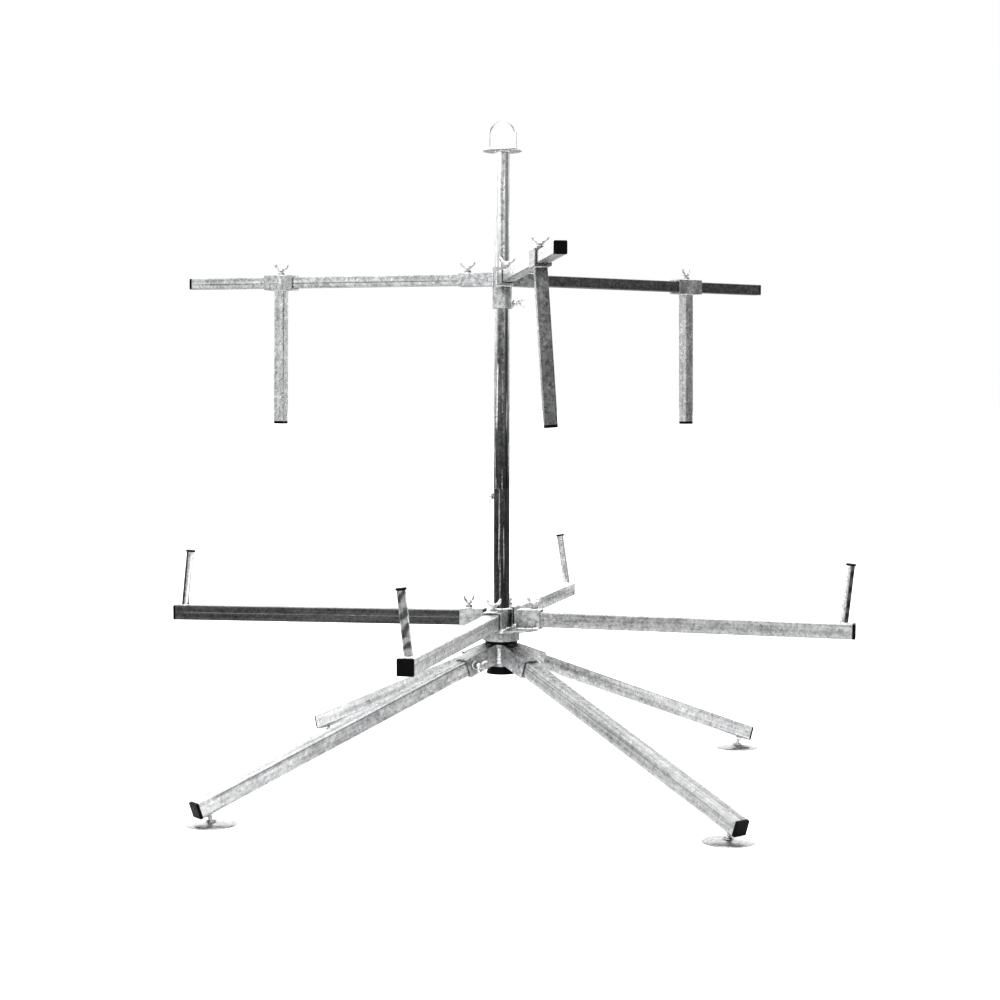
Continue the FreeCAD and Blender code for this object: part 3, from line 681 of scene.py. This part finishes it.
def beadTree():
    tree, given, result = newGroup(
        "weldBead", "GeometryNodeTree",
        [("Geometry", "Geometry", None), ("Radius", "Float", 0.003), ("Ripple", "Float", 0.0035),
         ("Ripple Depth", "Float", 0.16), ("Unevenness", "Float", 0.5), ("Sides", "Int", 8),
         ("Seed", "Float", 1.0), ("Material", "Material", None)], [("Geometry", "Geometry")])
    tree.is_modifier = True
    line = addNode(tree, "GeometryNodeMeshToCurve", {"Mesh": given["Geometry"]}).outputs[0]
    step = calc(tree, "MULTIPLY", given["Ripple"], 0.28)
    line = addNode(tree, "GeometryNodeResampleCurve", {"Curve": line}, mode="LENGTH")
    tree.links.new(step, line.inputs["Length"])
    run = addNode(tree, "GeometryNodeSplineParameter").outputs
    wave = calc(tree, "MULTIPLY", run["Length"], calc(tree, "DIVIDE", 2 * math.pi, given["Ripple"]))
    wave = calc(tree, "SINE", wave)
    spot = addNode(tree, "GeometryNodeInputPosition").outputs[0]
    lumps = {"Vector": spot, "W": given["Seed"], "Scale": 130.0, "Detail": 2.0}
    lumps = addNode(tree, "ShaderNodeTexNoise", lumps, noise_dimensions="4D").outputs[0]
    swell = calc(tree, "MULTIPLY_ADD", calc(tree, "SUBTRACT", lumps, 0.5), given["Unevenness"], 1.0)
    swell = calc(tree, "MULTIPLY_ADD", wave, given["Ripple Depth"], swell)
    ends = calc(tree, "ABSOLUTE", calc(tree, "MULTIPLY_ADD", run["Factor"], 2.0, -1.0))
    ends = calc(tree, "SUBTRACT", 1.0, ends)
    ends = addNode(tree, "ShaderNodeMapRange", {"Value": ends, "From Max": 0.12, "To Min": 0.55},
                   interpolation_type="SMOOTHSTEP").outputs[0]
    profile = {"Resolution": given["Sides"], "Radius": given["Radius"]}
    profile = addNode(tree, "GeometryNodeCurvePrimitiveCircle", profile).outputs[0]
    thickness = calc(tree, "MULTIPLY", swell, ends)
    bead = addNode(tree, "GeometryNodeCurveToMesh",
                   {"Curve": line.outputs[0], "Profile Curve": profile, "Scale": thickness,
                    "Fill Caps": True}).outputs[0]
    rough = addNode(tree, "ShaderNodeTexNoise", {"Vector": spot, "W": given["Seed"], "Scale": 420.0},
                    noise_dimensions="4D").outputs["Color"]
    rough = vectorCalc(tree, "SUBTRACT", rough, (0.5, 0.5, 0.5))
    amount = calc(tree, "MULTIPLY", calc(tree, "MULTIPLY", given["Radius"], given["Unevenness"]), 0.5)
    shake = addNode(tree, "ShaderNodeVectorMath", {0: rough, "Scale": amount}, operation="SCALE")
    moved = {"Geometry": bead, "Offset": shake.outputs["Vector"]}
    bead = addNode(tree, "GeometryNodeSetPosition", moved).outputs[0]
    bead = addNode(tree, "GeometryNodeSetShadeSmooth", {"Geometry": bead}).outputs[0]
    finishTree(tree, bead, given, result)
    return tree


def grow(tree, values, finish, mesh=None):
    values = {**values, "Material": finishes[finish]}
    holder = holderOf(mesh or bpy.data.meshes.new("seed"))
    modifier = holder.modifiers.new("tree", "NODES")
    modifier.node_group = tree
    for item in tree.interface.items_tree:
        if item.in_out == "INPUT" and item.name in values:
            modifier[item.identifier] = values[item.name]
    return evaluated(holder)


trees = {"thread": threadTree(), "bead": beadTree()}
print("geometry trees made:", ", ".join(trees))


# wing screws

wing = {"height": 0.025, "hubRadius": 0.009, "hubTop": 0.0076, "hubHeight": 0.0112,
        "lobeSpot": (0.0158, 0.0155), "lobeWide": 0.0044, "lobeTall": 0.0084, "lobeTilt": 24,
        "neckRadius": 0.0043, "lobeHalf": 0.0025,
        "rootHalf": 0.0033, "voxel": 0.0007, "shank": 0.005, "pitch": 0.0015, "sunk": 0.002,
        "steps": 6}


def wingHead():
    shape = bmesh.new()
    hub, top, high = wing["hubRadius"], wing["hubTop"], wing["hubHeight"]
    lathe(shape, Matrix.Identity(4), [(0, 0), (hub - 0.001, 0), (hub, 0.0012), (hub - 0.0004, high * 0.6),
                                      (top, high - 0.0012), (top - 0.0015, high), (0, high)], 40)
    root = Vector((hub * 0.5, 0, high * 0.45))
    lobe = Vector((wing["lobeSpot"][0], 0, wing["lobeSpot"][1]))
    earRoot = lobe + Vector((-0.0015, 0, -wing["lobeTall"] * 0.5))
    for side in (1, -1):
        flip = Matrix.Diagonal((side, 1, 1, 1))
        for step in range(wing["steps"] + 1):
            share = step / wing["steps"]
            thick = wing["rootHalf"] + (wing["lobeHalf"] - wing["rootHalf"]) * share
            size = Matrix.Diagonal((wing["neckRadius"], thick, wing["neckRadius"], 1))
            bmesh.ops.create_icosphere(shape, subdivisions=3, radius=1,
                                       matrix=flip @ Matrix.Translation(root.lerp(earRoot, share)) @ size)
        tilt = Matrix.Rotation(math.radians(wing["lobeTilt"]), 4, "Y")
        size = Matrix.Diagonal((wing["lobeWide"], wing["lobeHalf"], wing["lobeTall"], 1))
        ear = Matrix.Translation(lobe) @ tilt @ size
        bmesh.ops.create_icosphere(shape, subdivisions=4, radius=1, matrix=flip @ ear)
    bmesh.ops.recalc_face_normals(shape, faces=shape.faces)
    holder = holderOf(meshOf(shape))
    remesh = holder.modifiers.new("cast", "REMESH")
    remesh.mode = "VOXEL"
    remesh.voxel_size = wing["voxel"]
    remesh.use_smooth_shade = True
    smooth = holder.modifiers.new("fillets", "SMOOTH")
    smooth.factor = 0.5
    smooth.iterations = 5
    return evaluated(holder)


# the screw's frame, on its nut's seat and turned with its wings, and its lowest and highest points
def screwPlace(node):
    joint = jointOf[node]
    axis = Vector(joint["axis"])
    seat = Vector(joint["pos_m"])
    points = [point - seat for point in pointsOf(node)]
    heights = [point.dot(axis) for point in points]
    wide = max((point - axis * point.dot(axis) for point in points), key=lambda across: across.length)
    return frameOn(seat, axis, wide), min(heights), max(heights)


def makeWingScrews():
    head = wingHead()
    made = [node for node in nodes if slotOfNode[node] == "zinc_screws" and node in jointOf]
    for node in sorted(made):
        place, low, high = screwPlace(node)
        base = high - wing["height"]
        length = base + wing["sunk"] - low
        sizes = {"Radius": wing["shank"], "Length": length, "Pitch": wing["pitch"]}
        shank = grow(trees["thread"], sizes, "zincPlate")
        shank.transform(place @ Matrix.Translation((0, 0, low)))
        wings = head.copy()
        wings.transform(place @ Matrix.Translation((0, 0, base)))
        mesh = joined(wings, shank)
        addPiece("wingScrew_" + node, mesh, bodyOfNode[node], [node], "zincPlate")
    print("wing screws made:", len(made))


# feet

foot = {"discRadius": 0.0625, "cupRadius": 0.0125, "ballRadius": 0.007, "ballHeight": 0.010,
        "studRadius": 0.006, "studSunk": 0.003, "pitch": 0.00175, "nutFlat": 0.017, "nutHeight": 0.008,
        "nutBevel": 0.0011, "nutSteps": 24}


def hexNut(shape, place, flat, height):
    point, face = flat / math.sqrt(3), flat / 2 * 0.97
    bevel, steps = foot["nutBevel"], foot["nutSteps"]
    rings = []
    for level, reach in [(0.0, face), (bevel, point), (height - bevel, point), (height, face)]:
        ring = []
        for step in range(steps):
            turn = 2 * math.pi * step / steps
            fromFlat = (turn + math.pi / 6) % (math.pi / 3) - math.pi / 6
            radius = min(flat / 2 / math.cos(fromFlat), reach)
            ring.append(shape.verts.new(place @ roundSpot(radius, turn, level)))
        rings.append(ring)
    for first, second in zip(rings, rings[1:]):
        for step in range(steps):
            following = (step + 1) % steps
            shape.faces.new([first[step], first[following], second[following], second[step]])
    shape.faces.new(list(reversed(rings[0])))
    shape.faces.new(rings[-1])


def makeFoot(number):
    node = f"foot_{number}"
    low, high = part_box(node)
    centre = Vector(((low.x + high.x) / 2, (low.y + high.y) / 2, 0))
    disc = foot["discRadius"]
    cup = foot["cupRadius"]
    shape = bmesh.new()
    # from the cup's lip over the dish to the rim, and back underneath
    profile = [(0.0076, 0.0118), (0.0090, 0.0125), (cup - 0.0012, 0.0119), (cup, 0.0105),
               (cup + 0.0008, 0.0082), (cup + 0.004, 0.0072), (0.030, 0.0068), (0.044, 0.0057),
               (0.0555, 0.0033), (disc - 0.0012, 0.0024), (disc, 0.0012), (disc - 0.0008, 0.0001),
               (disc - 0.003, 0.0), (0.0545, 0.0012), (0.043, 0.0033), (0.030, 0.0043), (0.010, 0.0044),
               (0.0074, 0.0052), (0.0074, 0.0085)]
    lathe(shape, Matrix.Translation(centre), profile, 96)
    addPiece(f"footDisc{number}", meshOf(shape, 40), bodyOfNode[node], (), "footDisc",
             Matrix.Translation(centre), 1.0)

    along = Vector(jointOf[bodyOfNode[node]]["axis"])
    down = along.cross(Vector((along.y, -along.x, 0))).normalized()
    down = down if down.z < 0 else -down
    ball = centre + Vector((0, 0, foot["ballHeight"]))
    heights = [(point - ball).dot(-down) for point in pointsOf(node)]
    high = max(height for height in heights if height > cup)
    place = frameOn(ball - down * high, down, along)
    shape = bmesh.new()
    bmesh.ops.create_icosphere(shape, subdivisions=4, radius=foot["ballRadius"] - 0.0001,
                               matrix=Matrix.Translation(ball))
    hexNut(shape, place, foot["nutFlat"], foot["nutHeight"])
    sizes = {"Radius": foot["studRadius"], "Length": high - foot["studSunk"], "Pitch": foot["pitch"]}
    stud = grow(trees["thread"], sizes, "zincPlate")
    stud.transform(place)
    addPiece(f"footStud{number}", joined(meshOf(shape, 35), stud), bodyOfNode[node], [node],
             "zincPlate")


# sub-parts whose shape stays, with softened edges and their own finish

edgeWidth = {"galvanised_square_tube": 0.0005, "galvanised_mast": 0.0006, "galvanised_weldments": 0.0007,
             "spindle_steel": 0.0006, "black_caps": 0.0004, "bearing_plastic": 0.0007, "zinc_screws": 0.0005}
# tone that paints light and shade into each listed sub-part's zinc colour: under 1 is painted shade, over 1
# painted light
paintedShadeByPart = {"lower_arm_2": 0.8, "lower_arm_3": 1.45, "lower_arm_4": 0.14, "upper_arm_2": 0.25,
            "sleeve_1": 0.37, "mast_lower": 0.2, "leg_1": 0.82}
# the upper mast is painted darker low down and lighter upward, painted shade and painted light: its tone at its
# lower and its upper end
paintedMastShading = {"low": 0.1, "high": 1.6}
# painted shade on one side of each end post: its direction outward and sideways, and its tone
paintedPostShade = {"lower_arm_1": (0.7, 0.7, 0.8), "lower_arm_2": (0.7, 0.7, 0.25),
             "lower_arm_3": (0.7, 0.7, 1.2), "lower_arm_4": (0.7, -0.7, 0.14)}
# the post's tone is painted light on the rest of each end post
post = {"tone": 1.25, "radius": 0.01, "shadeFrom": 0.8, "capDepth": 0.004, "endReach": (0.06, 0.005)}
dropPost = {"depth": 0.038}


# the frame of a square tube: x along it from its inner end, z up
def tubePlace(node):
    body = bodyOfNode[node]
    along = Vector(jointOf[body]["axis"])
    if node.startswith("sleeve"):
        joint = jointOf[body.replace("sleeve", "sleeve_screw")]
        root = Vector(joint["pos_m"]) - Vector(joint["axis"]) * dropPost["depth"]
        low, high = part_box(node.replace("sleeve", "drop_post_cap"))
        return frameAlong(root, (low + high) / 2 - root, along)
    points = pointsOf(node)
    nearest = min(point.dot(along) for point in points)
    innerEnd = middle([point for point in points if point.dot(along) < nearest + 0.001])
    return frameAlong(innerEnd, along, (0, 0, 1))


# the middle of the end post's foot, on the arm's top face near its end
def postFoot(points):
    half = max(point.y for point in points if point.x < 0.001)
    end = max(point.x for point in points)
    first, last = (end - reach for reach in post["endReach"])
    return middle([point for point in points if abs(point.z - half) < 0.0006 and first < point.x < last])


def finishPost(node, mesh, local):
    points = pointsOf(node, local)
    base = postFoot(points)
    highest = max(point.z for point in points)
    tip = middle([point for point in points if point.z > highest - post["capDepth"]])
    turned = local.to_3x3()
    own = frameAlong(local @ base, turned @ (tip - base), turned @ Vector((1, 0, 0)))
    inverse, back = local.inverted(), own.inverted()
    # the post's faces get painted shade on one side and a lighter painted tone on the rest
    outward, sideways, darker = paintedPostShade[node]
    heights = [(inverse @ vertex.co).z for vertex in mesh.vertices]
    place, shade = mesh.attributes["place"].data, mesh.attributes["paintedShading"].data
    mesh.materials.append(finishes["galvanisedPost"])
    for polygon in mesh.polygons:
        levels = [heights[index] for index in polygon.vertices]
        if min(levels) > base.z - 0.001 and max(levels) > base.z + 0.003:
            polygon.material_index = 1
            for index in polygon.vertices:
                spot = back @ mesh.vertices[index].co
                place[index].vector = spot
                shaded = (spot.z * outward + spot.y * sideways) / post["radius"] > post["shadeFrom"]
                shade[index].value = darker if shaded else post["tone"]


def makeDressed(node):
    slot = slotOfNode[node]
    finish = finishOfSlot[slot]
    local = Matrix.Identity(4)
    if slot == "galvanised_square_tube":
        local = tubePlace(node)
        if node.startswith(("upper_arm", "sleeve")):
            finish = "galvanisedLightTube"
    if slot == "galvanised_mast":
        local = frameAlong((0, 0, 0), (0, 0, 1), (1, 0, 0))
    mesh = softened(cleanCopy(node), edgeWidth[slot])
    # painted light and shade for this sub-part, 1.0 where none is painted
    paintedShading = paintedShadeByPart.get(node, 1.0)
    addPiece(node + "_finished", mesh, bodyOfNode[node], [node], finish, local, paintedShading)
    if node.startswith("lower_arm") and slot == "galvanised_square_tube":
        finishPost(node, mesh, local)
    # painted shade low on the upper mast, grading to painted light at its top
    if node == "mast_upper":
        low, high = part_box(node)
        for vertex, shade in zip(mesh.vertices, mesh.attributes["paintedShading"].data):
            share = (vertex.co.z - low.z) / (high.z - low.z)
            shade.value = paintedMastShading["low"] + (paintedMastShading["high"] - paintedMastShading["low"]) * share


# lifting ring and top disc

mastEnd = {"discThickness": 0.005, "discEdge": 0.0009, "ringRod": 0.0045, "arcSteps": 32}


def makeMastTop():
    node = "mast_top"
    low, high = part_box(node)
    radius = high.x
    thick = mastEnd["discThickness"]
    shape = bmesh.new()
    edge = mastEnd["discEdge"]
    disc = [(0, low.z), (radius - edge, low.z), (radius, low.z + edge), (radius, low.z + thick - edge),
            (radius - edge, low.z + thick), (0, low.z + thick)]
    lathe(shape, Matrix.Identity(4), disc, 96)
    ringPoints = [point for point in pointsOf(node) if point.z > low.z + thick + 0.003]
    far = max(ringPoints, key=lambda point: Vector((point.x, point.y)).length)
    reach = Vector((far.x, far.y, 0))
    arch = reach.length - mastEnd["ringRod"]
    side = reach.normalized()
    crown = high.z - mastEnd["ringRod"] - arch
    path = [side * arch + Vector((0, 0, low.z + thick - 0.001))]
    for step in range(mastEnd["arcSteps"] + 1):
        turn = math.pi * step / mastEnd["arcSteps"]
        path.append(side * arch * math.cos(turn) + Vector((0, 0, crown + arch * math.sin(turn))))
    path.append(-side * arch + Vector((0, 0, low.z + thick - 0.001)))
    sweep(shape, path, mastEnd["ringRod"])
    mesh = meshOf(shape, 40)
    addPiece("liftingRing", mesh, bodyOfNode[node], [node], "brightZinc")
    return [side * arch + Vector((0, 0, low.z + thick)), -side * arch + Vector((0, 0, low.z + thick))]


# welds

welds = {"corner": 0.0098, "lump": 0.0050, "fillet": 0.0030, "nut": 0.0023, "seam": 0.0016, "ripple": 0.0042}
weldSpots = {"nutReach": 0.0098, "cornerLow": 0.052, "cornerHigh": 0.007, "rimRadius": 0.0432,
             "rimDrop": 0.0055, "rimHalfAngle": 34, "lumpStart": 0.017, "lumpEnd": 0.002,
             "ringFoot": 0.0048, "postFoot": 0.0109, "sleeveHalf": 0.0152, "sleeveDepth": 0.040}


# points round z; with bulge, they lie on a cylinder of that radius whose axis is x, bulge below the frame
def circle(place, radius, start=0, end=360, count=48, bulge=None):
    closed = abs(end - start) >= 360
    points = []
    for step in range(count if closed else count + 1):
        spot = roundSpot(radius, math.radians(start + (end - start) * step / count))
        if bulge:
            spot.z = math.sqrt(bulge ** 2 - spot.y ** 2) - bulge
        points.append(place @ spot)
    return points, closed


def weldMesh(paths):
    shape = bmesh.new()
    for points, closed in paths:
        line = [shape.verts.new(point) for point in points]
        for first, second in zip(line, line[1:] + line[:1] if closed else line[1:]):
            shape.edges.new((first, second))
    mesh = bpy.data.meshes.new("paths")
    shape.to_mesh(mesh)
    shape.free()
    return mesh


def makeWelds(name, body, runs, finish="weldMetal"):
    beads = []
    for index, (size, paths) in enumerate(runs):
        thin = size == "seam"
        bulky = size in ("corner", "lump")
        beads.append(grow(trees["bead"], {
            "Radius": welds[size], "Ripple": welds["ripple"] * (4 if thin else 1),
            "Seed": len(name) + index * 3.7, "Ripple Depth": 0.03 if thin else 0.2,
            "Unevenness": 0.1 if thin else 0.7, "Sides": 12 if bulky else 8}, finish, weldMesh(paths)))
    addPiece(name, joined(*beads), body, (), finish)


def radiusOf(point):
    return math.hypot(point.x, point.y)


def nutRing(node, bulge=None):
    joint = jointOf[node]
    across = (0, 0, 1) if bulge else (1, 0, 0.3)
    seat = frameOn(Vector(joint["pos_m"]), joint["axis"], across)
    return circle(seat, weldSpots["nutReach"], bulge=bulge, count=28)


def armDirection(name):
    axis = Vector(jointOf[name]["axis"])
    return Vector((axis.x, axis.y, 0)).normalized()


def makeAllWelds(ringFeet):
    legScrew = jointOf["leg_screw_1"]
    half = Vector(legScrew["pos_m"]).dot(Vector(legScrew["axis"]))
    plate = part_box("thrust_washer")[0].z
    corners, rims, nuts = [], [], []
    for number in range(1, 5):
        out = armDirection(f"leg_{number}")
        side = Vector((-out.y, out.x, 0))
        edge = (out + side) * (half + 0.0008)
        ends = [edge + Vector((0, 0, plate - weldSpots[end])) for end in ("cornerLow", "cornerHigh")]
        corners.append((ends, False))
        angle, spread = math.degrees(math.atan2(out.y, out.x)), weldSpots["rimHalfAngle"]
        rim = Matrix.Translation((0, 0, plate - weldSpots["rimDrop"]))
        rims.append(circle(rim, weldSpots["rimRadius"], angle - spread, angle + spread, 20))
        nuts.append(nutRing(f"leg_screw_{number}"))
    makeWelds("weldsBase", "base", [("corner", corners), ("fillet", rims), ("nut", nuts)])

    level = jointOf["arm_screw_1"]["pos_m"][2]
    deck = level - 2 * half
    rotor = pointsOf("rotor_hub")
    underDeck = min(point.z for point in rotor if point.z > deck - 0.02 and radiusOf(point) > 0.08)
    flange = max(radiusOf(point) for point in rotor if point.z < underDeck - 0.001)
    atLevel = [point for point in rotor if abs(point.z - level) < 0.001]
    housing = min(radiusOf(point) for point in atLevel if radiusOf(point) > 0.026)
    fillets = [circle(Matrix.Translation((0, 0, underDeck)), flange - 0.0004),
               circle(Matrix.Translation((0, 0, deck)), housing)]
    lumps, nuts = [], []
    for number in range(1, 5):
        out = armDirection(f"arm_{number}")
        side = Vector((-out.y, out.x, 0))
        across = [point for point in atLevel if abs(abs(point.dot(side)) - half) < 0.001]
        inner = min(point.dot(out) for point in across if point.dot(out) > housing)
        plateEdge = max(radiusOf(point) for point in rotor if abs(point.z - deck) < 0.001
                        and abs(point.dot(side)) > half + 0.01)
        outer = math.sqrt(plateEdge ** 2 - half ** 2)
        for sign in (1, -1):
            edge = side * half * sign + Vector((0, 0, deck))
            fillets.append(([edge + out * inner, edge + out * outer], False))
            ends = [edge + out * (outer - weldSpots[end]) for end in ("lumpStart", "lumpEnd")]
            lumps.append((ends, False))
        ends = [out * inner + side * half * sign + Vector((0, 0, deck)) for sign in (1, -1)]
        fillets.append((ends, False))
        nuts.append(nutRing(f"arm_screw_{number}"))
    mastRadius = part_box("mast_upper")[1].x
    fillets.append(circle(Matrix.Translation((0, 0, level)), mastRadius + 0.0004))
    nuts.append(nutRing("mast_screw", mastRadius))
    makeWelds("weldsRotor", "rotor", [("fillet", fillets), ("lump", lumps), ("nut", nuts)])

    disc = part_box("mast_upper")[1].z
    feet = [circle(Matrix.Translation(spot), weldSpots["ringFoot"], count=20) for spot in ringFeet]
    under = circle(Matrix.Translation((0, 0, disc)), mastRadius)
    makeWelds("weldsMast", "mast", [("fillet", [under]), ("nut", feet)])

    upper = pointsOf("upper_hub")
    bottom = min(point.z for point in upper)
    collar = max(radiusOf(point) for point in upper if point.z < bottom + 0.001)
    out = armDirection("upper_arm_1")
    side = Vector((-out.y, out.x, 0))
    lightHalf = max(point.dot(side) for point in upper if point.dot(out) > 0.1)
    loops = []
    for number in range(1, 4):
        out = armDirection(f"upper_arm_{number}")
        seat = Vector(jointOf[f"upper_screw_{number}"]["pos_m"])
        angle = math.degrees(math.atan2(out.y, out.x))
        wide = math.degrees(math.asin(lightHalf / collar))
        over = Matrix.Translation((0, 0, seat.z))
        below = Matrix.Translation((0, 0, seat.z - 2 * lightHalf))
        topLine = circle(over, collar, angle - wide, angle + wide, 14)[0]
        lowLine = circle(below, collar, angle + wide, angle - wide, 14)[0]
        loops.append((topLine + lowLine, True))
    nuts = [nutRing(f"upper_screw_{number}") for number in range(1, 4)] + [nutRing("collar_screw", collar)]
    makeWelds("weldsHub", "hub", [("fillet", loops), ("nut", nuts)])

    for number in range(1, 5):
        node = f"lower_arm_{number}"
        place = tubePlace(node)
        points = pointsOf(node, place)
        end = max(point.x for point in points)
        ring = circle(place @ Matrix.Translation(postFoot(points)), weldSpots["postFoot"], count=28)
        makeWelds(f"weldsArm{number}", bodyOfNode[node], [("nut", [ring])])
        makeWelds(f"seamLowerArm{number}", bodyOfNode[node], [("seam", seamPaths(node, place, end))],
                  finish="seamMetal")
    for number in range(1, 4):
        node = f"sleeve_{number}"
        joint = jointOf[f"sleeve_screw_{number}"]
        place = frameOn(Vector(joint["pos_m"]), joint["axis"], jointOf[f"sleeve_{number}"]["axis"])
        wide, deep = weldSpots["sleeveHalf"], weldSpots["sleeveDepth"]
        square = [place @ Vector((x * wide, y * wide, -deep)) for x, y in squareRound()]
        rings = [(square, True), nutRing(joint["child"])]
        makeWelds(f"weldsSleeve{number}", bodyOfNode[node], [("nut", rings)])
        node = f"upper_arm_{number}"
        place = tubePlace(node)
        end = max(point.x for point in pointsOf(node, place))
        makeWelds(f"seamUpperArm{number}", bodyOfNode[node], [("seam", seamPaths(node, place, end))],
                  finish="seamMetal")
    for number in range(1, 5):
        node = f"leg_{number}"
        place = tubePlace(node)
        end = max(point.x for point in pointsOf(node, place))
        makeWelds(f"seamLeg{number}", bodyOfNode[node], [("seam", seamPaths(node, place, end))],
                  finish="seamMetal")


def squareRound():  # a unit square with rounded corners
    points = []
    for corner in range(4):
        for step in range(5):
            turn = math.radians(corner * 90 + step * 22.5)
            x, y = [(0.8, 0.8), (-0.8, 0.8), (-0.8, -0.8), (0.8, -0.8)][corner]
            points.append((x + 0.2 * math.cos(turn), y + 0.2 * math.sin(turn)))
    return points


# the side of each tube that its lengthwise weld is on, and its height as a share of the half width
seamFace = {"lower_arm_1": (1, 0.3), "lower_arm_2": (1, 0.1), "lower_arm_3": (1, 0.2),
            "lower_arm_4": (1, 0.05), "upper_arm_1": (1, 0.2), "upper_arm_2": (1, 0.2),
            "upper_arm_3": (1, -0.15), "leg_1": (-1, 0.35),
            "leg_2": (1, 0.2), "leg_3": (-1, 0.3), "leg_4": (1, 0.75)}


def seamPaths(node, place, end):
    side, height = seamFace[node]
    half = max(point.y for point in pointsOf(node, place) if point.x < 0.001)
    sunk = half - welds["seam"] + 0.0004
    steps = 30
    return [([place @ Vector((0.001 + (end - 0.002) * step / steps, side * sunk, height * half))
              for step in range(steps + 1)], False)]


makeWingScrews()
for number in range(1, 5):
    makeFoot(number)
ringFeet = makeMastTop()
makeAllWelds(ringFeet)
remade = ("leg_screw", "arm_screw", "upper_screw", "sleeve_screw", "mast_screw", "collar_screw", "foot",
          "mast_top")
rest = [node for node in sorted(nodes) if not node.startswith(remade)]
for node in rest:
    makeDressed(node)
print("sub-parts dressed:", len(rest))
